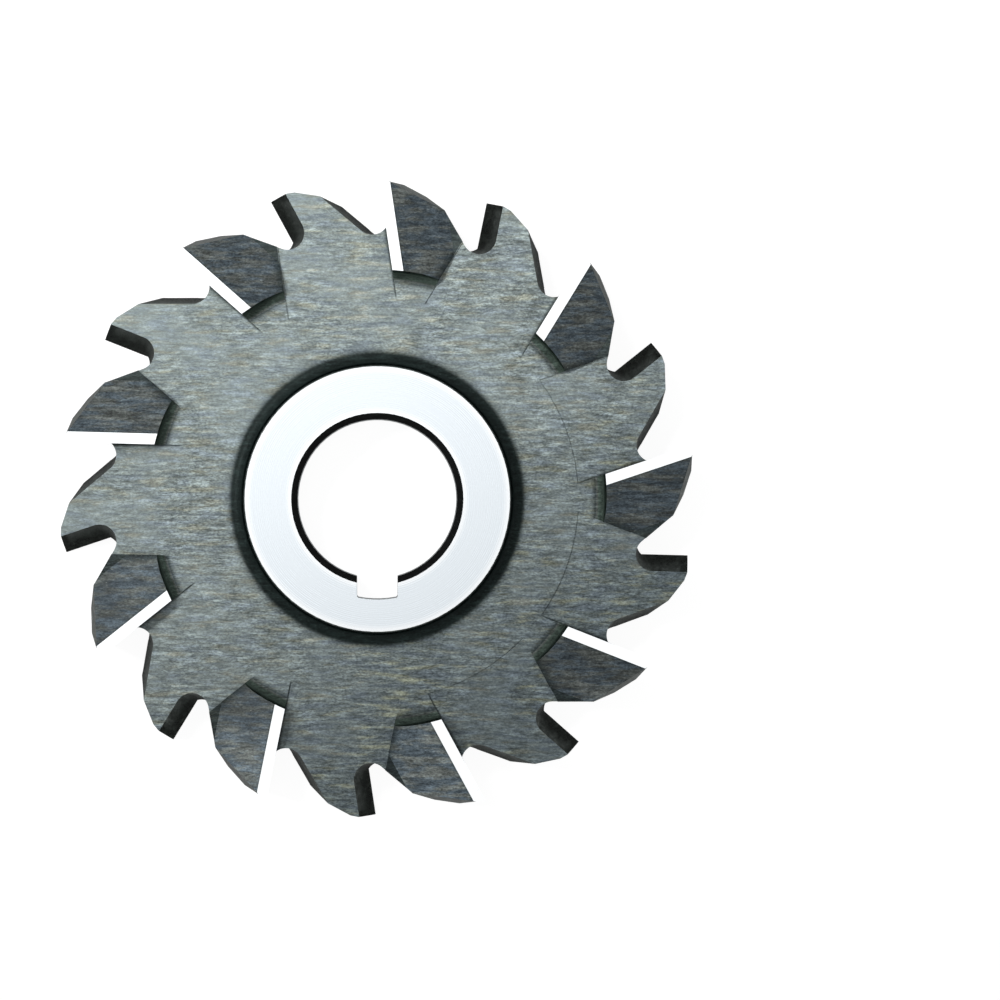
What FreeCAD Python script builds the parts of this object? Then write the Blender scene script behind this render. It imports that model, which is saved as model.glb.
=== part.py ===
"""Staggered-tooth side and face cutter, modelled lying on one face with its bore upright.

Origin: centre of the bore on the lower face. +Z runs up the bore, +Y points away from the keyway.
Nine teeth cut on the upper face and nine on the lower one, in turn round the rim. Teeth that cut
on top lean forward at the top, the others lean forward at the bottom, and each tooth is set down
on the face that it doesn't cut. Lengths are in millimetres and angles in degrees.
"""

import FreeCAD
import Part
import math
import os

import Sketcher

SIZES = {
    # body, turned
    "outside_diameter": 101.6,
    "body_width": 12.7,
    "bore_diameter": 25.4,
    "bore_chamfer": 1,
    "hub_diameter": 42.7,
    "hub_edge_break": 0.25,
    "hub_root_radius": 1.85,
    "rim_inner_diameter": 73,
    "rim_root_radius": 1.8,
    "web_recess": 2.6,
    # keyway
    "key_width": 6.5,
    "key_height": 28.7,
    "key_corner_radius": 0.4,
    # teeth
    "teeth_per_side": 9,
    "first_tooth_turn": -2.2,
    "tooth_lean": 15,
    "radial_rake": 10.7,
    # gash across the rim, ahead of each tooth
    "gash_back_slope": 37.6,
    "gash_depth": 8.7,
    "gash_root_radius": 2.7,
    # relief ground behind each cutting edge
    "tip_margin": 0.12,
    "relief_land": 1.3,
    "relief_slope": 9,
    "clearance_slope": 26,
    "clearance_run": 12.8,
    # side edges
    "side_gash_width": 17.6,
    "side_gash_depth": 2.85,
    "side_gash_end_radius": 32,
    "side_land": 1.7,
    "side_clearance_run": 8.4,
    "side_clearance_reach": 17.5,
    "side_clearance_start": 25,
    # how far a cut runs out past the metal
    "run_out": 3,
}

# edges closer than this, in millimetres, to the wanted radius and height are the wanted ones
EDGE_MATCH = 0.001
# a cut that takes away less than this, in cubic millimetres, has missed the metal
LEAST_CUT = 0.5


def vec(x, y, z=0.0):
    return FreeCAD.Vector(x, y, z)


def write_sizes(doc):
    sheet = doc.addObject("Spreadsheet::Sheet", "Sizes")
    for row, (name, value) in enumerate(SIZES.items(), start=1):
        sheet.set(f"A{row}", name)
        sheet.set(f"B{row}", str(value))
        sheet.setAlias(f"B{row}", name)
    doc.recompute()
    return sheet


def origin_feature(body, role):
    return [f for f in body.Origin.OriginFeatures if f.Role == role][0]


def new_sketch(body, name, role):
    sketch = body.newObject("Sketcher::SketchObject", name)
    sketch.AttachmentSupport = [(origin_feature(body, role), "")]
    sketch.MapMode = "FlatFace"
    return sketch


def add_chain(sketch, points):
    """Closed chain of straight lines through the points, joined end to end."""
    count = len(points)
    for i in range(count):
        sketch.addGeometry(Part.LineSegment(points[i], points[(i + 1) % count]))
    for i in range(count):
        sketch.addConstraint(Sketcher.Constraint("Coincident", i, 2, (i + 1) % count, 1))


def bind(sketch, name, formula, kind, *args):
    """Adds a constraint at its present value, names it and ties it to the sizes."""
    number = sketch.addConstraint(Sketcher.Constraint(kind, *args))
    sketch.renameConstraint(number, name)
    sketch.setExpression(f"Constraints.{name}", formula)


def along_x(sketch, line, end, name, formula, value):
    bind(sketch, name, formula, "DistanceX", -1, 1, line, end, value)


def along_y(sketch, line, end, name, formula, value):
    bind(sketch, name, formula, "DistanceY", -1, 1, line, end, value)


def turned_blank(body, size):
    """Half section of the blank: bore, hub, recessed web and rim, alike on both faces."""
    sketch = new_sketch(body, "BlankSection", "XZ_Plane")
    bore = size.bore_diameter / 2
    hub = size.hub_diameter / 2
    rim = size.rim_inner_diameter / 2
    tip = size.outside_diameter / 2
    top = size.body_width
    deep = size.web_recess
    points = [
        vec(bore, 0),
        vec(hub, 0),
        vec(hub, deep),
        vec(rim, deep),
        vec(rim, 0),
        vec(tip, 0),
        vec(tip, top),
        vec(rim, top),
        vec(rim, top - deep),
        vec(hub, top - deep),
        vec(hub, top),
        vec(bore, top),
    ]
    add_chain(sketch, points)
    for line in (0, 2, 4, 6, 8, 10):
        sketch.addConstraint(Sketcher.Constraint("Horizontal", line))
    for line in (1, 3, 5, 7, 9, 11):
        sketch.addConstraint(Sketcher.Constraint("Vertical", line))
    sketch.addConstraint(Sketcher.Constraint("PointOnObject", 0, 1, -1))
    sketch.addConstraint(Sketcher.Constraint("PointOnObject", 4, 1, -1))
    along_x(sketch, 0, 1, "bore_radius", "Sizes.bore_diameter / 2", bore)
    along_x(sketch, 1, 1, "hub_radius", "Sizes.hub_diameter / 2", hub)
    along_x(sketch, 9, 1, "hub_radius_top", "Sizes.hub_diameter / 2", hub)
    along_x(sketch, 3, 1, "rim_radius", "Sizes.rim_inner_diameter / 2", rim)
    along_x(sketch, 7, 1, "rim_radius_top", "Sizes.rim_inner_diameter / 2", rim)
    along_x(sketch, 5, 1, "tip_radius", "Sizes.outside_diameter / 2", tip)
    along_y(sketch, 2, 1, "web_low", "Sizes.web_recess", deep)
    along_y(sketch, 8, 1, "web_top", "Sizes.body_width - Sizes.web_recess", top - deep)
    along_y(sketch, 6, 1, "rim_top", "Sizes.body_width", top)
    along_y(sketch, 11, 1, "hub_top", "Sizes.body_width", top)
    blank = body.newObject("PartDesign::Revolution", "Blank")
    blank.Profile = sketch
    blank.ReferenceAxis = (sketch, ["V_Axis"])
    blank.Angle = 360
    return blank


def ring_edges(feature, radius, heights):
    """Names of the circular edges of this radius at these heights."""
    names = []
    for number, edge in enumerate(feature.Shape.Edges, start=1):
        curve = edge.Curve
        if curve.TypeId != "Part::GeomCircle" or abs(curve.Radius - radius) > EDGE_MATCH:
            continue
        if any(abs(curve.Center.z - level) < EDGE_MATCH for level in heights):
            names.append(f"Edge{number}")
    if len(names) != len(heights):
        raise RuntimeError(f"{feature.Name}: {len(names)} round edges of radius {radius}")
    return names


def round_edges(body, name, base, radius, heights, cell):
    fillet = body.newObject("PartDesign::Fillet", name)
    fillet.Base = (base, ring_edges(base, radius, heights))
    fillet.setExpression("Radius", "Sizes." + cell)
    body.Document.recompute()
    return fillet


def chamfer_edges(body, name, base, radius, heights, cell):
    chamfer = body.newObject("PartDesign::Chamfer", name)
    chamfer.Base = (base, ring_edges(base, radius, heights))
    chamfer.setExpression("Size", "Sizes." + cell)
    body.Document.recompute()
    return chamfer


def keyway(body, size):
    """Straight slot in the bore, with a floor concentric with the bore and rounded corners."""
    sketch = new_sketch(body, "KeywaySection", "XY_Plane")
    half = size.key_width / 2
    deep = size.key_height - size.bore_diameter / 2
    soft = size.key_corner_radius
    open_end = -size.bore_diameter / 4
    # centre of the right corner: one radius inside both the wall and the floor
    corner = vec(half - soft, -math.sqrt((deep - soft) ** 2 - (half - soft) ** 2))
    right_turn = 2 * math.pi + math.atan2(corner.y, corner.x)
    left_turn = 3 * math.pi - right_turn
    sketch.addGeometry(Part.LineSegment(vec(-half, open_end), vec(-half, corner.y)))
    left = Part.Circle(vec(-corner.x, corner.y), vec(0, 0, 1), soft)
    sketch.addGeometry(Part.ArcOfCircle(left, math.pi, left_turn))
    floor = Part.Circle(vec(0, 0), vec(0, 0, 1), deep)
    sketch.addGeometry(Part.ArcOfCircle(floor, left_turn, right_turn))
    right = Part.Circle(corner, vec(0, 0, 1), soft)
    sketch.addGeometry(Part.ArcOfCircle(right, right_turn, 2 * math.pi))
    sketch.addGeometry(Part.LineSegment(vec(half, corner.y), vec(half, open_end)))
    sketch.addGeometry(Part.LineSegment(vec(half, open_end), vec(-half, open_end)))
    for number in range(4):
        sketch.addConstraint(Sketcher.Constraint("Tangent", number, 2, number + 1, 1))
    sketch.addConstraint(Sketcher.Constraint("Coincident", 4, 2, 5, 1))
    sketch.addConstraint(Sketcher.Constraint("Coincident", 5, 2, 0, 1))
    sketch.addConstraint(Sketcher.Constraint("Coincident", 2, 3, -1, 1))
    sketch.addConstraint(Sketcher.Constraint("Vertical", 0))
    sketch.addConstraint(Sketcher.Constraint("Vertical", 4))
    sketch.addConstraint(Sketcher.Constraint("Horizontal", 5))
    sketch.addConstraint(Sketcher.Constraint("Equal", 1, 3))
    along_x(sketch, 4, 2, "half_width", "Sizes.key_width / 2", half)
    bind(sketch, "width", "Sizes.key_width", "DistanceX", 5, 2, 5, 1, size.key_width)
    bind(sketch, "floor", "Sizes.key_height - Sizes.bore_diameter / 2", "Radius", 2, deep)
    along_y(sketch, 5, 1, "open_end", "-Sizes.bore_diameter / 4", open_end)
    bind(sketch, "corner", "Sizes.key_corner_radius", "Radius", 1, soft)
    return cut_through(body, "Keyway", sketch)


def cut_through(body, name, sketch):
    pocket = body.newObject("PartDesign::Pocket", name)
    pocket.Profile = sketch
    pocket.Type = "ThroughAll"
    pocket.Midplane = True
    return pocket


class Side:
    """One of the two sets of teeth: where it starts, which face it cuts and which way it leans."""

    def __init__(self, name, size, on_top):
        self.name = name
        self.on_top = on_top
        self.turn = size.first_tooth_turn
        self.turn_formula = "Sizes.first_tooth_turn"
        self.level_formula = "Sizes.body_width"
        self.lean = "-tan(Sizes.tooth_lean * 1 deg)"
        if not on_top:
            self.turn += 180 / size.teeth_per_side
            self.turn_formula = "(Sizes.first_tooth_turn + 180 / Sizes.teeth_per_side)"
            self.level_formula = "0 * Sizes.body_width"
            self.lean = "tan(Sizes.tooth_lean * 1 deg)"


def tooth_sketch(body, side, name, level_formula):
    """Plan sketch in a tooth's own directions: Y out through its tip, X back along the rim."""
    sketch = new_sketch(body, side.name + name, "XY_Plane")
    sketch.setExpression("AttachmentOffset.Base.z", level_formula)
    sketch.AttachmentOffset = FreeCAD.Placement(vec(0, 0, 0), FreeCAD.Rotation(vec(0, 0, 1), 1))
    sketch.setExpression("AttachmentOffset.Rotation.Angle", side.turn_formula + " * 1 deg")
    return sketch


def leaning_cut(body, side, sketch, name):
    """Cut through the full width along the lean of the teeth, from their middle plane out."""
    pocket = body.newObject("PartDesign::Pocket", side.name + name)
    pocket.Profile = sketch
    pocket.Midplane = True
    pocket.UseCustomVector = True
    turn = side.turn_formula
    pocket.setExpression("Direction.x", f"{side.lean} * cos({turn} * 1 deg)")
    pocket.setExpression("Direction.y", f"{side.lean} * sin({turn} * 1 deg)")
    pocket.setExpression("Direction.z", "1 + 0 * Sizes.tooth_lean")
    pocket.setExpression("Length", "Sizes.body_width + 2 * Sizes.run_out")
    return pocket


def rim_gash(body, side, size):
    """Gash ahead of a tooth: its rake face, a round root and the back slope of the next tooth."""
    sketch = tooth_sketch(body, side, "GashSection", "Sizes.body_width / 2")
    tip = size.outside_diameter / 2
    rake = math.radians(size.radial_rake)
    slope = math.radians(size.gash_back_slope)
    root = size.gash_root_radius
    clear = tip + size.run_out
    centre_y = tip - size.gash_depth + root
    # centre of the root: one radius ahead of the rake line
    centre_x = (tip - centre_y) * math.tan(rake) - root / math.cos(rake)
    foot = vec(centre_x + root * math.cos(rake), centre_y + root * math.sin(rake))
    heel = vec(centre_x - root * math.sin(slope), centre_y - root * math.cos(slope))
    outer = vec(-(clear - tip) * math.tan(rake), clear)
    back = vec(heel.x - (clear - heel.y) / math.tan(slope), clear)
    sketch.addGeometry(Part.LineSegment(outer, foot))
    ring = Part.Circle(vec(centre_x, centre_y), vec(0, 0, 1), root)
    sketch.addGeometry(Part.ArcOfCircle(ring, 1.5 * math.pi - slope, 2 * math.pi + rake))
    sketch.addGeometry(Part.LineSegment(heel, back))
    sketch.addGeometry(Part.LineSegment(back, outer))
    sketch.addConstraint(Sketcher.Constraint("Tangent", 0, 2, 1, 2))
    sketch.addConstraint(Sketcher.Constraint("Tangent", 1, 1, 2, 1))
    sketch.addConstraint(Sketcher.Constraint("Coincident", 2, 2, 3, 1))
    sketch.addConstraint(Sketcher.Constraint("Coincident", 3, 2, 0, 1))
    sketch.addConstraint(Sketcher.Constraint("Horizontal", 3))
    sketch.addGeometry(Part.Point(vec(0, tip)), True)
    sketch.addConstraint(Sketcher.Constraint("PointOnObject", 4, 1, -2))
    sketch.addConstraint(Sketcher.Constraint("PointOnObject", 4, 1, 0))
    along_y(sketch, 4, 1, "tip", "Sizes.outside_diameter / 2", tip)
    along_y(sketch, 0, 1, "clear", "Sizes.outside_diameter / 2 + Sizes.run_out", clear)
    rake_turn = "(270 + Sizes.radial_rake) * 1 deg"
    bind(sketch, "rake", rake_turn, "Angle", 0, math.radians(270) + rake)
    back_turn = "(180 - Sizes.gash_back_slope) * 1 deg"
    bind(sketch, "back_slope", back_turn, "Angle", 2, math.pi - slope)
    bind(sketch, "root", "Sizes.gash_root_radius", "Radius", 1, root)
    depth = "Sizes.outside_diameter / 2 - Sizes.gash_depth + Sizes.gash_root_radius"
    along_y(sketch, 1, 3, "depth", depth, centre_y)
    return leaning_cut(body, side, sketch, "Gash")


def tooth_relief(body, side, size):
    """Narrow land behind the cutting edge and the steeper clearance behind that."""
    sketch = tooth_sketch(body, side, "ReliefSection", "Sizes.body_width / 2")
    tip = size.outside_diameter / 2
    margin = size.tip_margin
    land = size.relief_land
    run = size.clearance_run
    relief = math.radians(size.relief_slope)
    clearance = math.radians(size.clearance_slope)
    clear = tip + size.run_out
    step = tip - land * math.tan(relief)
    low = step - (run - margin - land) * math.tan(clearance)
    points = [
        vec(margin, tip),
        vec(margin + land, step),
        vec(run, low),
        vec(run - size.run_out, clear),
        vec(margin, clear),
    ]
    add_chain(sketch, points)
    sketch.addConstraint(Sketcher.Constraint("Horizontal", 3))
    sketch.addConstraint(Sketcher.Constraint("Vertical", 4))
    along_x(sketch, 0, 1, "margin", "Sizes.tip_margin", margin)
    along_y(sketch, 0, 1, "tip", "Sizes.outside_diameter / 2", tip)
    bind(sketch, "land", "Sizes.relief_land", "DistanceX", 0, 1, 0, 2, land)
    along_x(sketch, 1, 2, "run", "Sizes.clearance_run", run)
    bind(sketch, "relief", "-Sizes.relief_slope * 1 deg", "Angle", 0, -relief)
    bind(sketch, "clearance", "-Sizes.clearance_slope * 1 deg", "Angle", 1, -clearance)
    along_x(sketch, 2, 2, "back", "Sizes.clearance_run - Sizes.run_out", run - size.run_out)
    along_y(sketch, 2, 2, "clear", "Sizes.outside_diameter / 2 + Sizes.run_out", clear)
    return leaning_cut(body, side, sketch, "Relief")


def side_gash(body, side, size):
    """Parallel-sided channel across the face ahead of a side edge."""
    sketch = tooth_sketch(body, side, "SideGashPlan", side.level_formula)
    tip = size.outside_diameter / 2
    rake = math.radians(size.radial_rake)
    lead = size.body_width / 2 * math.tan(math.radians(size.tooth_lean))
    wide = size.side_gash_width
    end = size.side_gash_end_radius
    clear = tip + size.run_out

    def on_circle(offset):
        """Where the line this far ahead of the side edge meets the end circle."""
        x = -lead - offset * math.cos(rake)
        y = tip - offset * math.sin(rake)
        a = math.sin(rake)
        b = -math.cos(rake)
        mid = x * a + y * b
        step = -mid - math.sqrt(mid * mid - (x * x + y * y - end * end))
        return vec(x + a * step, y + b * step)

    near = on_circle(0)
    far = on_circle(wide)
    lift = (clear - tip) * math.tan(rake)
    outer = vec(-lead - lift, clear)
    wide_x = wide / math.cos(rake)
    outer_far = vec(outer.x - wide_x, clear)
    sketch.addGeometry(Part.LineSegment(outer, near))
    ring = Part.Circle(vec(0, 0), vec(0, 0, 1), end)
    start = math.atan2(near.y, near.x)
    stop = math.atan2(far.y, far.x)
    sketch.addGeometry(Part.ArcOfCircle(ring, start, stop))
    sketch.addGeometry(Part.LineSegment(far, outer_far))
    sketch.addGeometry(Part.LineSegment(outer_far, outer))
    sketch.addConstraint(Sketcher.Constraint("Coincident", 0, 2, 1, 1))
    sketch.addConstraint(Sketcher.Constraint("Coincident", 1, 2, 2, 1))
    sketch.addConstraint(Sketcher.Constraint("Coincident", 2, 2, 3, 1))
    sketch.addConstraint(Sketcher.Constraint("Coincident", 3, 2, 0, 1))
    sketch.addConstraint(Sketcher.Constraint("Coincident", 1, 3, -1, 1))
    sketch.addConstraint(Sketcher.Constraint("Horizontal", 3))
    sketch.addConstraint(Sketcher.Constraint("Parallel", 0, 2))
    sketch.addGeometry(Part.Point(vec(-lead, tip)), True)
    sketch.addConstraint(Sketcher.Constraint("PointOnObject", 4, 1, 0))
    lead_formula = "-Sizes.body_width / 2 * tan(Sizes.tooth_lean * 1 deg)"
    along_x(sketch, 4, 1, "lead", lead_formula, -lead)
    along_y(sketch, 4, 1, "tip", "Sizes.outside_diameter / 2", tip)
    along_y(sketch, 0, 1, "clear", "Sizes.outside_diameter / 2 + Sizes.run_out", clear)
    rake_turn = "(270 + Sizes.radial_rake) * 1 deg"
    bind(sketch, "rake", rake_turn, "Angle", 0, math.radians(270) + rake)
    wide_formula = "Sizes.side_gash_width / cos(Sizes.radial_rake * 1 deg)"
    bind(sketch, "width", wide_formula, "DistanceX", 3, 1, 3, 2, wide_x)
    bind(sketch, "end", "Sizes.side_gash_end_radius", "Radius", 1, end)
    pocket = body.newObject("PartDesign::Pocket", side.name + "SideGash")
    pocket.Profile = sketch
    pocket.Reversed = not side.on_top
    pocket.setExpression("Length", "Sizes.side_gash_depth")
    return pocket


def side_clearance(body, side, size):
    """Slope behind a side edge's narrow land, down to the level of the web."""
    sketch = new_sketch(body, side.name + "ClearanceSection", "XZ_Plane")
    turn = f"({side.turn_formula} + Sizes.radial_rake) * 1 deg"
    start = "Sizes.side_clearance_start"
    sketch.AttachmentOffset = FreeCAD.Placement(vec(0, 0, 0), FreeCAD.Rotation(vec(0, 1, 0), 1))
    sketch.setExpression("AttachmentOffset.Rotation.Angle", turn)
    sketch.setExpression("AttachmentOffset.Base.x", f"-sin({turn}) * {start}")
    sketch.setExpression("AttachmentOffset.Base.z", f"-cos({turn}) * {start}")
    rake = math.radians(size.radial_rake)
    lean = math.tan(math.radians(size.tooth_lean))
    edge = size.outside_diameter / 2 * math.sin(rake) - size.body_width / 2 * lean * math.cos(rake)
    edge_formula = (
        "Sizes.outside_diameter / 2 * sin(Sizes.radial_rake * 1 deg)"
        " - Sizes.body_width / 2 * tan(Sizes.tooth_lean * 1 deg) * cos(Sizes.radial_rake * 1 deg)"
    )
    into = -1 if side.on_top else 1
    face = size.body_width if side.on_top else 0
    floor = face + into * size.web_recess
    out = face - into * size.run_out
    near = edge + size.side_land
    foot = near + size.side_clearance_run
    far = edge + size.side_clearance_reach
    points = [vec(near, face), vec(foot, floor), vec(far, floor), vec(far, out), vec(near, out)]
    add_chain(sketch, points)
    for line in (1, 3):
        sketch.addConstraint(Sketcher.Constraint("Horizontal", line))
    for line in (2, 4):
        sketch.addConstraint(Sketcher.Constraint("Vertical", line))
    near_formula = edge_formula + " + Sizes.side_land"
    along_x(sketch, 0, 1, "near", near_formula, near)
    bind(sketch, "run", "Sizes.side_clearance_run", "DistanceX", 0, 1, 0, 2, size.side_clearance_run)
    along_x(sketch, 1, 2, "far", edge_formula + " + Sizes.side_clearance_reach", far)
    if side.on_top:
        along_y(sketch, 0, 1, "face", "Sizes.body_width", face)
        along_y(sketch, 0, 2, "floor", "Sizes.body_width - Sizes.web_recess", floor)
        along_y(sketch, 3, 1, "out", "Sizes.body_width + Sizes.run_out", out)
    else:
        sketch.addConstraint(Sketcher.Constraint("PointOnObject", 0, 1, -1))
        along_y(sketch, 0, 2, "floor", "Sizes.web_recess", floor)
        along_y(sketch, 3, 1, "out", "-Sizes.run_out", out)
    pocket = body.newObject("PartDesign::Pocket", side.name + "SideClearance")
    pocket.Profile = sketch
    pocket.Reversed = False
    reach = "Sizes.outside_diameter / 2 + Sizes.run_out - Sizes.side_clearance_start"
    pocket.setExpression("Length", reach)
    return pocket


def around(body, side, cuts):
    """Repeats a tooth's cuts round the bore, once for each tooth on that side."""
    pattern = body.newObject("PartDesign::PolarPattern", side.name + "Teeth")
    pattern.Originals = cuts
    pattern.Axis = (origin_feature(body, "Z_Axis"), [""])
    pattern.Angle = 360
    pattern.setExpression("Occurrences", "Sizes.teeth_per_side")
    body.Tip = pattern
    return pattern


def checked(doc, feature, before):
    """Recomputes, and makes sure that the cut took metal away; returns the volume left."""
    doc.recompute()
    if feature.Shape.isNull() or not feature.Shape.isValid():
        raise RuntimeError(f"{feature.Name} has no valid shape")
    after = feature.Shape.Volume
    print(f"{feature.Name}: {before - after:.1f} cubic mm removed")
    if after >= before - LEAST_CUT:
        raise RuntimeError(f"{feature.Name} removed nothing")
    return after


def make_cutter(doc, size):
    body = doc.addObject("PartDesign::Body", "cutter")
    body.Label = "cutter"
    blank = turned_blank(body, size)
    doc.recompute()
    top = size.body_width
    hub = size.hub_diameter / 2
    rim = size.rim_inner_diameter / 2
    webs = [size.web_recess, top - size.web_recess]
    foot = round_edges(body, "HubRoot", blank, hub, webs, "hub_root_radius")
    lip = round_edges(body, "RimRoot", foot, rim, webs, "rim_root_radius")
    mouth = chamfer_edges(body, "BoreMouth", lip, size.bore_diameter / 2, [0, top], "bore_chamfer")
    edge = chamfer_edges(body, "HubEdge", mouth, hub, [0, top], "hub_edge_break")
    left = edge.Shape.Volume
    left = checked(doc, keyway(body, size), left)
    for side in (Side("Upper", size, True), Side("Lower", size, False)):
        cuts = []
        for make in (side_gash, side_clearance, rim_gash, tooth_relief):
            cut = make(body, side, size)
            left = checked(doc, cut, left)
            cuts.append(cut)
        left = checked(doc, around(body, side, cuts), left)
    return body


def main():
    doc = FreeCAD.newDocument("SideAndFaceCutter")
    sheet = write_sizes(doc)
    cutter = make_cutter(doc, sheet)
    doc.recompute()
    for item in doc.Objects:
        if "Invalid" in item.State or "Error" in item.State:
            raise RuntimeError(f"{item.Name}: {item.State}")
    shape = cutter.Shape
    if shape.isNull() or not shape.isValid() or len(shape.Solids) != 1:
        raise RuntimeError("the cutter isn't one valid solid")
    box = shape.BoundBox
    print(f"box {box.XLength:.3f} {box.YLength:.3f} {box.ZLength:.3f}, z from {box.ZMin:.4f}")
    print(f"volume {shape.Volume:.1f}, faces {len(shape.Faces)}")
    os.makedirs("parts", exist_ok=True)
    shape.exportStep("parts/cutter.step")


main()
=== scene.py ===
"""Staggered-tooth side and face cutter on a pale bench, seen from straight above.

The solid is imported from model.glb. This file gives its steel the finishes of the real tool:
ground lands and hub faces, a grey hardened web, darker side clearances, near-black steps round
the hub and charcoal flutes. Shade and light are painted into several of them: painted shade in
the corners, along the steps, down the flutes, on the bore chamfers, towards one side of the web
and in part on the side clearances, painted light on the lowest teeth's clearances, and painted
sheen near the edges of the hub faces. It also lays the bench, hangs the lamps and places the
camera.
"""

import math
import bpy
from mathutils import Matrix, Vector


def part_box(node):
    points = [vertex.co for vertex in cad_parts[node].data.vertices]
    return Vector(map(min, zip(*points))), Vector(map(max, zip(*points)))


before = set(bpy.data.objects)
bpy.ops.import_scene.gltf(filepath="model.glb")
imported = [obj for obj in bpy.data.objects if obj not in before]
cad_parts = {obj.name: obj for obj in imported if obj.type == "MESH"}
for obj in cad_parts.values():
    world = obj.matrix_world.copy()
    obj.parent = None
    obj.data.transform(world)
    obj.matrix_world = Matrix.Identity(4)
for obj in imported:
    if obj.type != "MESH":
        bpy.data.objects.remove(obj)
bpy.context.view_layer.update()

from types import SimpleNamespace

import bpy
import numpy as np
from bpy.props import FloatProperty, FloatVectorProperty, IntProperty, PointerProperty

bl_info = {
    "name": "Side and face cutter",
    "version": (1, 0, 0),
    "blender": (4, 5, 0),
    "location": "View3D > Sidebar > Cutter",
    "description": "Finishes of a staggered-tooth side and face cutter, and its stage",
    "category": "Object",
}

LOW, HIGH = (np.array(corner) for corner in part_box("cutter"))
MM = 1000.0  # millimetres in a metre: properties are in metres, the node groups work in mm
HALF_WIDTH = float(HIGH[2] - LOW[2]) * MM / 2
TIP_REACH = float(HIGH[1])

SOFT = 0.1  # width in mm over which one finish gives way to another

# How far a surface faces along the bore's axis (the size of that part of its normal), from where
# each kind of surface starts to where it is certain
FLAT = (0.985, 0.996)
SIDE = (0.7, 0.5)
STEEP = (0.7, 0.6)
UPRIGHT = (0.2, 0.1)
CURVED_ROOT = (0.9995, 0.93)

# The least and the most that a side clearance and a chamfer face along the axis
SLOPED = (0.93, 0.975)
CHAMFERED = (0.6, 0.8)

# How far a surface faces out from the bore, from where its kind starts to where it is certain
FACES_OUT = (0.975, 0.985)
FACES_OUT_ROUGHLY = (0.84, 0.86)

# The same for how far it faces the way that the teeth cut, and the most that a step does
SLOPES_BACK = (-0.12, -0.2)
LEANS_BACK = (0.05, -0.05)
FACES_NEITHER_WAY = 0.15

# Radii in mm that part one finish from another
BEYOND_KEYWAY = 17.0
HUB_FACE_END = (24.0, 23.0)
RIM_STEP_START = (28.0, 30.0)
# The flutes grow darker over this range of radius at the tips
TIP_DARKENING = (49.2, 50.2)

SECTOR_AHEAD = math.radians(12)  # how far ahead of its tip a tooth's sector starts

# Directions across the face, with how far along them (in mm) each change of tone runs
# Painted shade: the web is darkened along the next direction, over the range that follows it
SHADED_WAY = (0.6, -0.8, 0)
SHADED = (-5.0, 45.0)
CALM = (-45.0, -5.0)
# Painted light: the lowest teeth's side clearances are lightened along the next direction
LOW_TEETH_WAY = (0.1, -0.99, 0)
LOW_TEETH = (31.0, 39.0)
LOW_TEETH_PAINTED_LIGHT = 1.95

# Grain: stretch on faces, stretch round the rim (both per mm), detail and roughness
GRAIN = {
    "Dash": ((2.3, 4.4, 2.3), (5.0, 5.0, 2.0), 3.0, 0.65),
    "Streak": ((0.42, 2.3, 0.8), (3.0, 3.0, 0.5), 3.0, 0.62),
    "Wave": ((0.2, 0.95, 0.4), (0.9, 0.9, 0.3), 4.0, 0.62),
    "Tint": ((0.16, 0.95, 0.4), (0.9, 0.9, 0.25), 3.0, 0.6),
}

RING_SCALE = 9.0  # grinding rings, per mm of radius
PATCH_SCALE = 0.09  # broad unevenness, per mm
VEIN_WIDTH = 0.035  # how far from its middle value the soft mottling still shows as a vein

# What each grain does to the tone: its own range, then the factor at either end
GRAIN_TONE = {
    "Dash": (0.22, 0.78, 0.5, 1.54),
    "Streak": (0.25, 0.75, 0.55, 1.48),
    "Wave": (0.3, 0.7, 0.7, 1.3),
    "Vein": (0.0, 1.0, 1.0, 0.74),
}

# Painted shade: how far from a corner it reaches, in mm, and how much of the tone it takes
HUB_PAINTED_SHADE = 1.5
RIM_PAINTED_SHADE = 0.9
SLOPE_PAINTED_SHADE = 1.6
PAINTED_SHADE_ON_SLOPES = 0.75
PAINTED_SHADE_ON_WEB = 0.8

# Shine of the steel
REFLECTION = 0.15
REFLECTION_TINT = (0.35, 0.35, 0.35, 1)
METAL_OF_WEB = 0.2
METAL_OF_HUB = 0.4
SCRATCH_DEPTH = 0.00002  # metres
RING_RELIEF = 0.12  # height of the grinding rings, as a share of the scratches' depth

# Stage
FAR_TEETH = (-0.042, 0.091, 0)
BENCH_HALF_WIDTH = 3.0
BENCH_DROP = 0.00002  # how far the bench lies below the cutter's lower face
BENCH_GREY = (0.2, 0.2, 0.2, 1)
BENCH_GLOW = 0.94
FILM_WIDTH = 36


def length(name, millimetres, note):
    """A length; it is given in mm here, and Blender keeps it in metres."""
    default = millimetres / MM
    return FloatProperty(
        name=name, default=default, min=0, precision=5, unit="LENGTH", description=note
    )


def angle(name, degrees, note):
    """An angle; it is given in degrees here, and Blender keeps it in radians."""
    default = math.radians(degrees)
    return FloatProperty(name=name, default=default, subtype="ANGLE", description=note)


def tone(name, red, green, blue, note):
    """A colour; the three numbers are screen values out of 255."""
    linear = [
        ((c / 255 + 0.055) / 1.055) ** 2.4 if c > 10 else c / 255 / 12.92
        for c in (red, green, blue)
    ]
    return FloatVectorProperty(
        name=name, subtype="COLOR", size=3, min=0, max=1, default=linear, description=note
    )


def share(name, value, note):
    """A part of the picture's width or height."""
    return FloatProperty(
        name=name, default=value, min=0, max=1, precision=4, subtype="FACTOR", description=note
    )


def power(name, watts, note):
    return FloatProperty(name=name, default=watts, min=0, unit="POWER", description=note)


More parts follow.
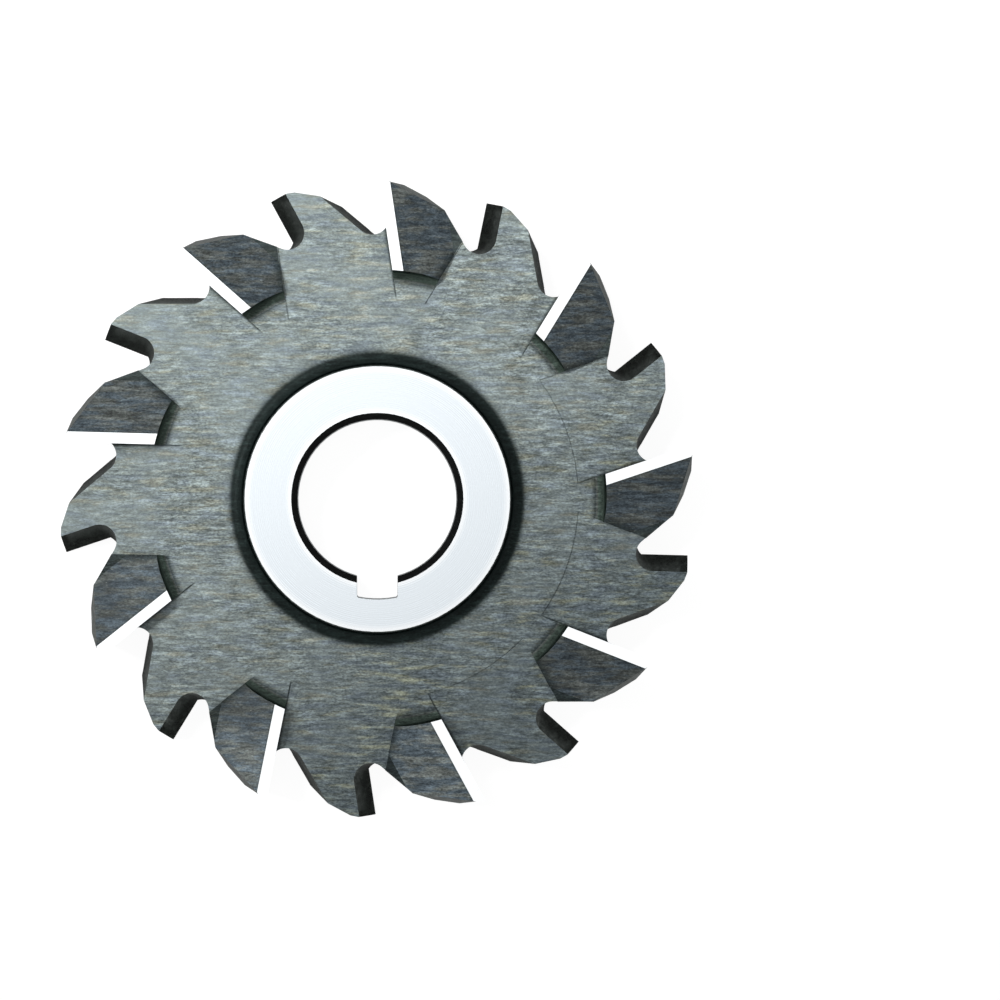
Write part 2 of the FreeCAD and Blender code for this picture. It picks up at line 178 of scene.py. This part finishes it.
class CutterSizes(bpy.types.PropertyGroup):
    tip_radius: length("Tip radius", 50.8, "Centre to the tooth tips")
    face_height: length("Face height", HALF_WIDTH, "Middle plane to a hub face")
    mouth_radius: length("Bore mouth radius", 13.7, "Centre to the bore chamfer's outer edge")
    hub_radius: length("Hub radius", 21.35, "Centre to the hub's edge")
    hub_foot_radius: length("Hub foot radius", 23.2, "Centre to where the hub meets the web")
    channel_radius: length("Channel end radius", 32.0, "Centre to the side gashes' inner end")
    web_radius: length("Web radius", 34.7, "Centre to where the web meets the rim")
    rim_radius: length("Rim radius", 36.5, "Centre to the inner edge of the rim")
    gullet_radius: length("Gullet radius", 43.9, "What faces out below this radius is gullet")
    land_radius: length("Land radius", 50.0, "The ground lands lie beyond this radius")
    gash_width: length("Side gash width", 17.6, "Width of the channel ahead of a side edge")
    side_land: length("Side land", 1.7, "Width of the ground land behind a side edge")
    side_run: length("Side clearance", 8.4, "Width of the slope behind a side land")
    first_turn: angle("First tooth", -2.2, "Turn of the first upper tooth from +Y")
    lean: angle("Lean", 15.0, "Lean of the teeth across the rim")
    rake: angle("Rake", 10.7, "Radial rake of the teeth")
    teeth_per_side: IntProperty(
        name="Teeth on each side", default=9, min=1, description="Teeth that cut on one face"
    )


class CutterTones(bpy.types.PropertyGroup):
    ground: tone("Ground face", 227, 234, 239, "Hub faces")
    # Lands, and a painted sheen that makes the hub faces lighter near their edges
    bright: tone("Ground edge", 246, 249, 251, "Lands, and the hub faces near their edges")
    web: tone("Web", 127, 137, 136, "Web, gash floors and set-down teeth")
    web_cool: tone("Web, cool patch", 124, 135, 140, "Bluish tint of the hardened web")
    web_warm: tone("Web, warm patch", 132, 136, 128, "Straw tint of the hardened web")
    # Painted shade: what one side of the web is multiplied by
    web_shaded: tone("Web, aged", 202, 205, 209, "What the aged side of the web is multiplied by")
    web_olive: tone("Web, olive patch", 124, 129, 114, "Scattered oil stains on the web")
    # Partly the clearance's own darker finish, partly painted shade of its tilt
    slope: tone("Side clearance", 68, 77, 83, "Slope behind the side lands")
    slope_warm: tone("Side clearance, warm", 78, 82, 80, "Straw tint of the side clearance")
    speck: tone("Speck", 150, 156, 150, "Pale nicks in the hardened skin")
    # Painted shade for the corners and along the steps
    shade: tone("Shade", 24, 32, 30, "What gathers in corners and along steps")
    # Painted shade: near-black in the fillet round the hub, dark on the rim's inner wall
    step: tone("Hub step", 26, 34, 33, "Step round the hub")
    rim_step: tone("Rim step", 58, 69, 63, "Inner wall of the rim")
    # The deep flute tone is painted shade down the flute; the tips take it too
    flute: tone("Flute", 78, 82, 80, "Rake faces, gullets and tooth backs, near the face")
    flute_deep: tone("Flute, deep", 44, 47, 45, "The same, far from the face")
    clearance: tone("Rim clearance", 94, 98, 96, "Clearance behind the rim lands")
    # Painted shade: near-black on the bore chamfers
    mouth: tone("Bore mouth", 12, 13, 13, "Chamfers of the bore")
    bore: tone("Bore wall", 150, 154, 155, "Ground wall of the bore")


class CutterStage(bpy.types.PropertyGroup):
    camera_height: length("Camera height", 950, "Camera above the upper face")
    picture_radius: share("Radius in the picture", 0.3195, "Tip radius against the width")
    picture_x: share("Across", 0.3773, "Bore centre across the picture, from the left")
    picture_y: share("Down", 0.499, "Bore centre down the picture, from the top")
    key_power: power("Key lamp", 0.07, "Lamp behind, aimed at the far teeth")
    left_power: power("Left lamp", 0.115, "Lamp on the left, aimed at the far teeth")
    top_power: power("Top lamp", 0.18, "Soft lamp beside the camera")
    room: FloatProperty(
        name="Room light", default=0.35, min=0, description="Strength of the pale room's soft light"
    )


def in_millimetres(sizes):
    """The sizes as the node groups use them: lengths in mm, angles and counts as they are."""
    values = {}
    for name in sizes.__annotations__:
        is_length = sizes.bl_rna.properties[name].unit == "LENGTH"
        values[name] = getattr(sizes, name) * (MM if is_length else 1)
    return SimpleNamespace(**values)


class Tree:
    """Short names for the nodes of one tree; a call adds its nodes and returns their output."""

    def __init__(self, tree):
        self.tree = tree

    def add(self, kind, **values):
        """Add one node, and return the node itself."""
        node = self.tree.nodes.new(kind)
        for key, value in values.items():
            setattr(node, key, value)
        return node

    def link(self, source, socket):
        """Join a socket to another, or set it to a plain value or colour."""
        if isinstance(source, bpy.types.NodeSocket):
            self.tree.links.new(source, socket)
        elif socket.type == "RGBA":
            socket.default_value = (*source[:3], 1)
        else:
            socket.default_value = source

    def math(self, operation, *values):
        node = self.add("ShaderNodeMath", operation=operation)
        for socket, value in zip(node.inputs, values):
            self.link(value, socket)
        return node.outputs[0]

    def plus(self, a, b):
        return self.math("ADD", a, b)

    def minus(self, a, b):
        return self.math("SUBTRACT", a, b)

    def times(self, first, *others):
        """Product of several values; of masks, what they have in common."""
        for other in others:
            first = self.math("MULTIPLY", first, other)
        return first

    def either(self, first, *others):
        """Largest of several masks."""
        for other in others:
            first = self.math("MAXIMUM", first, other)
        return first

    def outside(self, mask):
        """One where the mask is nothing, and the other way round."""
        return self.minus(1.0, mask)

    def ramp(self, value, start, stop, low=0.0, high=1.0):
        """Smooth rise from low to high as the value goes from start to stop."""
        node = self.add("ShaderNodeMapRange", interpolation_type="SMOOTHSTEP")
        for number, source in enumerate((value, start, stop, low, high)):
            self.link(source, node.inputs[number])
        return node.outputs[0]

    def within(self, value, low, high, soft):
        """One between low and high, falling to nothing over the soft width outside."""
        rise = self.ramp(value, low - soft, low)
        fall = self.ramp(value, high + soft, high)
        return self.times(rise, fall)

    def parts(self, vector):
        """The three parts of a vector."""
        node = self.add("ShaderNodeSeparateXYZ")
        self.link(vector, node.inputs[0])
        return node.outputs

    def along(self, vector, way):
        """How far a vector reaches along a direction: their dot product."""
        node = self.add("ShaderNodeVectorMath", operation="DOT_PRODUCT")
        self.link(vector, node.inputs[0])
        node.inputs[1].default_value = way
        return node.outputs["Value"]

    def scale(self, vector, factor):
        """A vector or colour with all its parts times one factor."""
        node = self.add("ShaderNodeVectorMath", operation="SCALE")
        self.link(vector, node.inputs[0])
        self.link(factor, node.inputs["Scale"])
        return node.outputs[0]

    def stretch(self, vector, factors):
        """A vector with each part times its own factor."""
        node = self.add("ShaderNodeVectorMath", operation="MULTIPLY")
        self.link(vector, node.inputs[0])
        node.inputs[1].default_value = factors
        return node.outputs[0]

    def mix(self, factor, a, b, blend="MIX"):
        """Colour a where the factor is 0, and b laid over it where it is 1."""
        node = self.add("ShaderNodeMix", data_type="RGBA", blend_type=blend)
        self.link(factor, node.inputs["Factor"])
        self.link(a, node.inputs[6])
        self.link(b, node.inputs[7])
        return node.outputs[2]

    def blend(self, factor, a, b):
        """Value a where the factor is 0, and b where it is 1."""
        node = self.add("ShaderNodeMix", data_type="FLOAT")
        self.link(factor, node.inputs["Factor"])
        self.link(a, node.inputs[2])
        self.link(b, node.inputs[3])
        return node.outputs[0]

    def noise(self, place, scale, detail, roughness):
        """Noise at a place, or along a line where the place is a single value."""
        is_value = place.type == "VALUE"
        node = self.add("ShaderNodeTexNoise", noise_dimensions="1D" if is_value else "3D")
        self.link(place, node.inputs["W" if is_value else "Vector"])
        node.inputs["Scale"].default_value = scale
        node.inputs["Detail"].default_value = detail
        node.inputs["Roughness"].default_value = roughness
        return node.outputs["Fac"]


def open_group(name, vectors="", values=""):
    """A new node group that takes these vectors and values; returns its tree and its inputs."""
    group = bpy.data.node_groups.new(name, "ShaderNodeTree")
    for names, kind in ((vectors, "NodeSocketVector"), (values, "NodeSocketFloat")):
        for socket in names.split():
            group.interface.new_socket(socket, in_out="INPUT", socket_type=kind)
    tree = Tree(group)
    return tree, tree.add("NodeGroupInput").outputs


def close_group(tree, **results):
    """Put the results out under their names; returns the finished group."""
    for name in results:
        tree.tree.interface.new_socket(name, in_out="OUTPUT", socket_type="NodeSocketFloat")
    sockets = tree.add("NodeGroupOutput").inputs
    for name, source in results.items():
        tree.link(source, sockets[name])
    return tree.tree


def use_group(tree, group, **sources):
    """Add a node group with these inputs; returns its outputs."""
    node = tree.add("ShaderNodeGroup")
    node.node_tree = group
    for name, source in sources.items():
        tree.link(source, node.inputs[name])
    return node.outputs


def zones_group(sizes):
    """Which finish a point has, from its place in mm and the way its surface faces.

    The radius and the height from the middle plane tell faces at different levels apart; the
    parts of the normal along the axis, out from the bore and along the cut tell floors, slopes
    and walls apart. Depth is 0 on a flute where it meets the face that it opens to, and 1 at its
    other end.
    """
    tree, given = open_group("Cutter zones", vectors="Place Facing")
    x, y, z = tree.parts(given["Place"])
    nx, ny, nz = tree.parts(given["Facing"])
    radius = tree.math("SQRT", tree.plus(tree.times(x, x), tree.times(y, y)))
    height = tree.minus(z, sizes.face_height)
    level = tree.math("ABSOLUTE", height)
    axial = tree.math("ABSOLUTE", nz)
    outward = tree.math("DIVIDE", tree.plus(tree.times(nx, x), tree.times(ny, y)), radius)
    forward = tree.math("DIVIDE", tree.minus(tree.times(ny, x), tree.times(nx, y)), radius)

    towards_face = tree.times(height, tree.math("SIGN", nz))
    depth = tree.ramp(towards_face, sizes.face_height, -sizes.face_height)
    flat = tree.ramp(axial, *FLAT)
    steep = tree.ramp(axial, *STEEP)
    top = tree.ramp(level, sizes.face_height - 0.3, sizes.face_height - 0.2)
    slope = tree.times(
        tree.within(axial, *SLOPED, 0.01),
        tree.ramp(forward, *SLOPES_BACK),
        tree.ramp(radius, sizes.web_radius - 0.4, sizes.web_radius),
    )
    near_hub = tree.times(
        tree.ramp(radius, sizes.hub_radius - 0.15, sizes.hub_radius - 0.1),
        tree.ramp(radius, sizes.hub_foot_radius + 0.6, sizes.hub_foot_radius - 0.2),
    )
    near_rim = tree.times(
        tree.within(radius, sizes.web_radius - 0.2, sizes.rim_radius + 0.02, 0.05),
        tree.within(forward, -FACES_NEITHER_WAY, FACES_NEITHER_WAY, 0.1),
        tree.ramp(axial, *CURVED_ROOT),
    )
    land = tree.times(
        steep,
        tree.ramp(outward, *FACES_OUT),
        tree.ramp(radius, sizes.land_radius - SOFT, sizes.land_radius),
    )
    clearance = tree.times(
        steep,
        tree.ramp(radius, sizes.gullet_radius - SOFT, sizes.gullet_radius + SOFT),
        tree.ramp(outward, *FACES_OUT_ROUGHLY),
        tree.ramp(forward, *LEANS_BACK),
    )
    mouth = tree.times(
        tree.within(axial, *CHAMFERED, 0.02),
        tree.ramp(radius, sizes.mouth_radius + 0.3, sizes.mouth_radius + 0.2),
    )
    bore = tree.times(
        tree.ramp(axial, *UPRIGHT),
        tree.ramp(radius, BEYOND_KEYWAY + 0.2, BEYOND_KEYWAY),
    )
    channel_end = tree.times(
        steep, tree.within(radius, sizes.channel_radius - 0.3, sizes.channel_radius + 0.3, SOFT)
    )
    return close_group(
        tree,
        Radius=radius,
        Depth=depth,
        Side=tree.ramp(axial, *SIDE),
        Ground=tree.times(flat, top),
        Web=tree.either(tree.times(flat, tree.outside(top)), channel_end),
        Slope=slope,
        Step=tree.either(near_hub, near_rim),
        Clearance=clearance,
        Land=land,
        Mouth=mouth,
        Bore=bore,
    )


def tooth_lines_group(sizes):
    """Distances in plan from the straight lines that one tooth and the next are cut to.

    The point is turned into the sector of its own tooth: the angle about the bore, less the
    tooth's turn, modulo the pitch. Each line is then one dot product. Behind is how far the point
    lies behind the side edge, and Past is how far it lies past the far wall of the next channel.
    """
    tree, given = open_group("Tooth lines", vectors="Place", values="Radius")
    x, y, z = tree.parts(given["Place"])
    pitch = 2 * math.pi / sizes.teeth_per_side
    start = math.pi / 2 + sizes.first_turn
    under = tree.ramp(z, sizes.face_height + SOFT, sizes.face_height - SOFT)
    turned = tree.minus(tree.math("ARCTAN2", y, x), start)
    turned = tree.minus(turned, tree.times(under, pitch / 2))
    folded = tree.math("WRAP", turned, SECTOR_AHEAD, SECTOR_AHEAD - pitch)
    back = tree.times(given["Radius"], tree.math("SINE", folded), -1.0)
    out = tree.times(given["Radius"], tree.math("COSINE", folded))
    lead = sizes.face_height * math.tan(sizes.lean)
    edge = sizes.tip_radius * math.sin(sizes.rake) - lead * math.cos(sizes.rake)

    def distance(turn, shift):
        """Dot product of the point with a direction at this angle, less the line's own."""
        reach = tree.plus(tree.times(back, math.cos(turn)), tree.times(out, math.sin(turn)))
        return tree.minus(reach, shift)

    next_wall = distance(sizes.rake - pitch, edge - sizes.gash_width)
    return close_group(tree, Behind=distance(sizes.rake, edge), Past=tree.times(next_wall, -1.0))


def grain_group():
    """Fine straight grain, drawn out along X on faces and along the axis round the rim.

    Dash is short fine scratches, Streak longer ones, Wave soft mottling, Vein thin dark lines
    where Wave crosses its middle value, Patch broad unevenness and Tint bands of heat colour.
    """
    tree, given = open_group("Steel grain", vectors="Place", values="Side")
    grain = {}
    for name, (on_faces, round_rim, detail, roughness) in GRAIN.items():
        node = tree.add("ShaderNodeMix", data_type="VECTOR")
        tree.link(given["Side"], node.inputs["Factor"])
        tree.link(tree.stretch(given["Place"], on_faces), node.inputs[4])
        tree.link(tree.stretch(given["Place"], round_rim), node.inputs[5])
        grain[name] = tree.noise(node.outputs[1], 1.0, detail, roughness)
    from_middle = tree.math("ABSOLUTE", tree.minus(grain["Wave"], 0.5))
    vein = tree.ramp(from_middle, VEIN_WIDTH, 0.0)
    patch = tree.noise(given["Place"], PATCH_SCALE, 3.0, 0.55)
    return close_group(tree, Vein=vein, Patch=patch, **grain)


def rings_group():
    """Grinding rings about the bore: noise that depends on the radius alone, broken in places."""
    tree, given = open_group("Ground rings", vectors="Place", values="Radius")
    lines = tree.noise(given["Radius"], RING_SCALE, 3.0, 0.7)
    unbroken = tree.ramp(tree.noise(given["Place"], 0.5, 2.0, 0.5), 0.3, 0.7, 0.35, 1.0)
    return close_group(tree, Rings=tree.blend(unbroken, 0.5, lines))


def corners_group(sizes):
    """Painted shade in the corners and along the steps, and painted sheen at the hub faces'
    borders.

    Each mask falls off with the distance to a circle or to one of a tooth's straight lines.
    Hub and Rim are beside the steps, Wall is along the foot of a side edge's wall, Heel is the
    low end of a side clearance, Hollow the flat behind it, and Border the edges of a hub face.
    """
    tree, given = open_group("Corners", values="Radius Behind Past Ragged")
    radius, behind, past = given["Radius"], given["Behind"], given["Past"]
    ragged = tree.ramp(given["Ragged"], 0.3, 0.7, 0.7, 1.3)
    from_hub = tree.minus(radius, sizes.hub_foot_radius - 0.1)
    from_rim = tree.minus(sizes.web_radius + 0.1, radius)
    # Painted shade beside the hub step, inside the rim, along each side wall's foot and at each
    # clearance's low end
    hub = tree.ramp(from_hub, -0.4, tree.times(ragged, HUB_PAINTED_SHADE), 1.0, 0.0)
    rim = tree.ramp(from_rim, -0.2, tree.times(ragged, RIM_PAINTED_SHADE), 1.0, 0.0)
    beside_teeth = tree.times(tree.ramp(behind, 0.0, SOFT), tree.ramp(past, 0.0, SOFT))
    wide = tree.times(tree.ramp(radius, 31.0, 47.0, 0.3, 0.85), ragged)
    wall = tree.times(
        tree.ramp(tree.plus(behind, wide), 0.0, wide),
        tree.ramp(behind, SOFT, 0.0),
        tree.ramp(radius, sizes.channel_radius, sizes.channel_radius + 1.0),
    )
    land_edge = tree.ramp(behind, sizes.side_land + 0.4, sizes.side_land)
    slope_end = sizes.side_land + sizes.side_run
    low_end = tree.ramp(past, -0.2, tree.times(ragged, SLOPE_PAINTED_SHADE), 1.0, 0.0)
    heel = tree.either(low_end, tree.times(land_edge, 0.5))
    hollow = tree.times(
        tree.ramp(behind, slope_end - 0.2, slope_end), tree.ramp(past, 0.0, SOFT)
    )
    # Painted sheen: the hub faces are lighter near their edges
    sheen_border = tree.either(
        tree.ramp(radius, sizes.mouth_radius + 1.1, sizes.mouth_radius),
        tree.ramp(radius, sizes.hub_radius - 1.5, sizes.hub_radius - 0.3),
    )
    return close_group(
        tree,
        Hub=hub,
        Rim=tree.times(rim, beside_teeth),
        Wall=wall,
        Heel=heel,
        Hollow=hollow,
        Border=sheen_border,
    )


def web_tone(tree, tones, grain, corner, shaded_way):
    """Hardened web: heat tints, oil stains, and painted shade that darkens it towards one side."""
    cool_to_plain = tree.ramp(grain["Tint"], 0.36, 0.5)
    plain_to_warm = tree.ramp(grain["Tint"], 0.52, 0.66)
    colour = tree.mix(cool_to_plain, tones.web_cool, tones.web)
    colour = tree.mix(plain_to_warm, colour, tones.web_warm)
    # Painted shade, darkening the web towards one side
    shaded = tree.ramp(shaded_way, *SHADED)
    colour = tree.mix(shaded, colour, tones.web_shaded, "MULTIPLY")
    stains = tree.times(
        tree.ramp(grain["Tint"], 0.5, 0.68),
        tree.ramp(grain["Patch"], 0.44, 0.58),
        tree.ramp(shaded, 0.0, 0.6, 0.35, 0.9),
    )
    colour = tree.mix(stains, colour, tones.web_olive)
    part_slope = tree.times(corner["Hollow"], 0.45)
    return tree.mix(part_slope, colour, tones.slope)


def slope_tone(tree, tones, grain, place):
    """Side clearances, in part painted shade: heat tints, and painted light making the lowest teeth
    paler.
    """
    cool_to_warm = tree.ramp(grain["Tint"], 0.42, 0.6)
    colour = tree.mix(cool_to_warm, tones.slope, tones.slope_warm)
    low_teeth = tree.along(place, LOW_TEETH_WAY)
    return tree.scale(colour, tree.ramp(low_teeth, *LOW_TEETH, 1.0, LOW_TEETH_PAINTED_LIGHT))


def flute_tone(tree, tones, zone):
    """Rake faces, gullets and tooth backs: painted shade darkens them down the flute; darker at the
    tips.
    """
    tip = tree.ramp(zone["Radius"], *TIP_DARKENING)
    deep = tree.either(tree.ramp(zone["Depth"], 0.1, 0.9), tree.times(tip, 0.9))
    return tree.mix(deep, tones.flute, tones.flute_deep)


def grain_strength(tree, zone, grain, shaded_way):
    """What the tone is multiplied by: each grain's factor, weaker where the skin is calm."""
    marks = tree.times(*(tree.ramp(grain[name], *change) for name, change in GRAIN_TONE.items()))
    in_patches = tree.ramp(grain["Patch"], 0.38, 0.62, 0.7, 1.15)
    across_face = tree.ramp(shaded_way, *CALM, 0.65, 1.0)
    strength = tree.either(tree.times(in_patches, across_face), zone["Slope"])
    uneven = tree.ramp(grain["Patch"], 0.3, 0.7, 1.06, 0.94)
    return tree.times(tree.blend(strength, 1.0, marks), uneven)


def cutter_steel(sizes, tones):
    """The one steel of the cutter, with each surface's own finish laid over the flute's."""
    material = bpy.data.materials.new("cutter_steel_finish")
    material.use_nodes = True
    tree = Tree(material.node_tree)
    shader = material.node_tree.nodes["Principled BSDF"]
    shader.inputs["Specular IOR Level"].default_value = REFLECTION
    shader.inputs["Specular Tint"].default_value = REFLECTION_TINT
    place = tree.stretch(tree.add("ShaderNodeTexCoord").outputs["Object"], (MM, MM, MM))
    facing = tree.add("ShaderNodeNewGeometry").outputs["Normal"]
    zone = use_group(tree, zones_group(sizes), Place=place, Facing=facing)
    radius = zone["Radius"]
    line = use_group(tree, tooth_lines_group(sizes), Place=place, Radius=radius)
    grain = use_group(tree, grain_group(), Place=place, Side=zone["Side"])
    rings = use_group(tree, rings_group(), Place=place, Radius=radius)["Rings"]
    corner = use_group(
        tree,
        corners_group(sizes),
        Radius=radius,
        Behind=line["Behind"],
        Past=line["Past"],
        Ragged=grain["Streak"],
    )
    shaded_way = tree.along(place, SHADED_WAY)

    colour = flute_tone(tree, tones, zone)
    colour = tree.mix(zone["Clearance"], colour, tones.clearance)
    colour = tree.mix(zone["Bore"], colour, tones.bore)
    colour = tree.mix(zone["Slope"], colour, slope_tone(tree, tones, grain, place))
    colour = tree.mix(zone["Web"], colour, web_tone(tree, tones, grain, corner, shaded_way))
    # Painted shade on the clearances' low ends, and on the web beside the steps and walls
    slope_shade = tree.times(zone["Slope"], corner["Heel"], PAINTED_SHADE_ON_SLOPES)
    colour = tree.mix(slope_shade, colour, tones.shade)
    corner_shade = tree.either(corner["Hub"], corner["Rim"], corner["Wall"])
    colour = tree.mix(tree.times(zone["Web"], corner_shade, PAINTED_SHADE_ON_WEB), colour, tones.shade)
    # Painted shade on the steps round the hub and inside the rim
    steps = tree.mix(tree.ramp(radius, *RIM_STEP_START), tones.step, tones.rim_step)
    colour = tree.mix(zone["Step"], colour, steps)
    # Painted shade on the bore chamfers
    colour = tree.mix(zone["Mouth"], colour, tones.mouth)
    colour = tree.scale(colour, grain_strength(tree, zone, grain, shaded_way))
    nicks = tree.ramp(grain["Dash"], 0.66, 0.74)
    pale = tree.ramp(zone["Slope"], 0.0, 1.0, 0.12, 0.5)
    colour = tree.mix(tree.times(nicks, pale), colour, tones.speck)

    bright = tree.either(zone["Ground"], zone["Land"])
    # Painted sheen: hub faces lighter near their borders than in their middle
    hub_face = tree.ramp(radius, *HUB_FACE_END)
    inner_face = tree.times(hub_face, tree.outside(corner["Border"]))
    polished = tree.mix(inner_face, tones.bright, tones.ground)
    polished = tree.scale(polished, tree.ramp(rings, 0.3, 0.7, 0.975, 1.0))
    tree.link(tree.mix(bright, colour, polished), shader.inputs["Base Color"])

    rough_skin = tree.ramp(grain["Streak"], 0.3, 0.7, 0.4, 0.55)
    rough_ground = tree.ramp(rings, 0.3, 0.7, 0.2, 0.3)
    tree.link(tree.blend(bright, rough_skin, rough_ground), shader.inputs["Roughness"])
    side_land = tree.times(zone["Ground"], tree.outside(hub_face))
    bare = tree.either(zone["Side"], side_land)
    metal = tree.blend(bare, tree.blend(zone["Ground"], METAL_OF_WEB, METAL_OF_HUB), 1.0)
    tree.link(metal, shader.inputs["Metallic"])

    scratches = tree.times(tree.outside(bright), tree.minus(grain["Dash"], 0.5))
    height = tree.plus(scratches, tree.times(bright, rings, RING_RELIEF))
    bump = tree.add("ShaderNodeBump")
    bump.inputs["Strength"].default_value = 0.5
    bump.inputs["Distance"].default_value = SCRATCH_DEPTH
    tree.link(height, bump.inputs["Height"])
    tree.link(bump.outputs[0], shader.inputs["Normal"])
    return material


class CUTTER_OT_finish_steel(bpy.types.Operator):
    """Give the cutter's steel its ground, hardened and turned finishes"""

    bl_idname = "cutter.finish_steel"
    bl_label = "Finish the steel"

    def execute(self, context):
        scene = context.scene
        steel = cutter_steel(in_millimetres(scene.cutter_sizes), scene.cutter_tones)
        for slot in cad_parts["cutter"].material_slots:
            slot.material = steel
        return {"FINISHED"}


def seen_directly(tree):
    """One for rays from the camera and for those that a mirror or glass passes on."""
    path = tree.add("ShaderNodeLightPath").outputs
    return tree.either(path["Is Camera Ray"], path["Is Glossy Ray"], path["Is Transmission Ray"])


def bench_material():
    """Pale bench that shows white to the camera and in reflections, and keeps a soft shadow."""
    material = bpy.data.materials.new("pale_bench")
    material.use_nodes = True
    tree = Tree(material.node_tree)
    nodes = material.node_tree.nodes
    nodes.remove(nodes["Principled BSDF"])
    paper = tree.add("ShaderNodeBsdfDiffuse")
    paper.inputs["Color"].default_value = BENCH_GREY
    glow = tree.add("ShaderNodeEmission")
    tree.link(tree.times(seen_directly(tree), BENCH_GLOW), glow.inputs["Strength"])
    total = tree.add("ShaderNodeAddShader")
    tree.link(paper.outputs[0], total.inputs[0])
    tree.link(glow.outputs[0], total.inputs[1])
    tree.link(total.outputs[0], nodes["Material Output"].inputs["Surface"])
    return material


def lay_bench():
    """Flat square under the cutter, a hair below the face that it lies on."""
    ends = (-BENCH_HALF_WIDTH, BENCH_HALF_WIDTH)
    x, y = np.meshgrid(ends, ends)
    corners = np.column_stack((x.ravel(), y.ravel(), np.full(4, -BENCH_DROP)))
    mesh = bpy.data.meshes.new("bench")
    mesh.from_pydata(corners.tolist(), [], [(0, 1, 3, 2)])
    mesh.materials.append(bench_material())
    bench = bpy.data.objects.new("bench", mesh)
    bpy.context.scene.collection.objects.link(bench)


def pale_room(strength):
    """World that looks white, and lights the cutter with this strength."""
    world = bpy.data.worlds.new("pale_room")
    world.use_nodes = True
    tree = Tree(world.node_tree)
    back = world.node_tree.nodes["Background"]
    back.inputs["Color"].default_value = (1, 1, 1, 1)
    tree.link(tree.blend(seen_directly(tree), strength, 1.0), back.inputs["Strength"])
    return world


def lamp(name, turn, rise, watts, away, size, aim=(0, 0, 0), spread=180):
    """Square lamp that faces its aim point; its place is a turn from +X, a rise and a distance.

    The turn, the rise and the spread are in degrees, the distance from the origin in metres.
    """
    turn, rise = math.radians(turn), math.radians(rise)
    flat_away = away * math.cos(rise)
    place = (flat_away * math.cos(turn), flat_away * math.sin(turn), away * math.sin(rise))
    data = bpy.data.lights.new(name, "AREA")
    data.size = size
    data.energy = watts
    data.spread = math.radians(spread)
    gaze = np.array(aim, float) - np.array(place, float)
    tilt = math.atan2(math.hypot(gaze[0], gaze[1]), -gaze[2])
    swing = math.atan2(gaze[1], gaze[0]) - math.pi / 2
    thing = bpy.data.objects.new(name, data)
    thing.location = place
    thing.rotation_euler = (tilt, 0, swing)
    bpy.context.scene.collection.objects.link(thing)


def place_camera(stage):
    """Camera straight above the bore, shifted so that the bore has its place in the picture."""
    camera = bpy.data.cameras.new("camera")
    camera.sensor_width = FILM_WIDTH
    camera.lens = FILM_WIDTH * stage.picture_radius * stage.camera_height / TIP_REACH
    camera.shift_x = 0.5 - stage.picture_x
    camera.shift_y = stage.picture_y - 0.5
    camera.clip_end = 20
    viewer = bpy.data.objects.new("camera", camera)
    viewer.location = (0, 0, float(HIGH[2]) + stage.camera_height)
    bpy.context.scene.collection.objects.link(viewer)
    bpy.context.scene.camera = viewer


class CUTTER_OT_set_stage(bpy.types.Operator):
    """Lay the bench, hang the lamps and place the camera above the cutter"""

    bl_idname = "cutter.set_stage"
    bl_label = "Set the stage"

    def execute(self, context):
        scene = context.scene
        stage = scene.cutter_stage
        lay_bench()
        scene.world = pale_room(stage.room)
        narrow = {"away": 0.7, "size": 0.2, "aim": FAR_TEETH, "spread": 19}
        lamp("key_lamp", turn=130, rise=56, watts=stage.key_power, **narrow)
        lamp("left_lamp", turn=160, rise=50, watts=stage.left_power, **narrow)
        lamp("top_lamp", turn=120, rise=83, watts=stage.top_power, away=1.3, size=0.4)
        place_camera(stage)
        scene.view_settings.view_transform = "Standard"
        return {"FINISHED"}


class CUTTER_PT_panel(bpy.types.Panel):
    bl_idname = "CUTTER_PT_panel"
    bl_label = "Cutter"
    bl_space_type = "VIEW_3D"
    bl_region_type = "UI"
    bl_category = "Cutter"

    def draw(self, context):
        layout = self.layout
        scene = context.scene
        for group in (scene.cutter_sizes, scene.cutter_tones, scene.cutter_stage):
            box = layout.box()
            for name in group.__annotations__:
                box.prop(group, name)
        layout.operator(CUTTER_OT_finish_steel.bl_idname)
        layout.operator(CUTTER_OT_set_stage.bl_idname)


CLASSES = (
    CutterSizes,
    CutterTones,
    CutterStage,
    CUTTER_OT_finish_steel,
    CUTTER_OT_set_stage,
    CUTTER_PT_panel,
)


def register():
    for item in CLASSES:
        bpy.utils.register_class(item)
    bpy.types.Scene.cutter_sizes = PointerProperty(type=CutterSizes)
    bpy.types.Scene.cutter_tones = PointerProperty(type=CutterTones)
    bpy.types.Scene.cutter_stage = PointerProperty(type=CutterStage)


def unregister():
    del bpy.types.Scene.cutter_sizes
    del bpy.types.Scene.cutter_tones
    del bpy.types.Scene.cutter_stage
    for item in reversed(CLASSES):
        bpy.utils.unregister_class(item)


def main():
    register()
    bpy.ops.cutter.finish_steel()
    bpy.ops.cutter.set_stage()


if __name__ == "__main__":
    main()
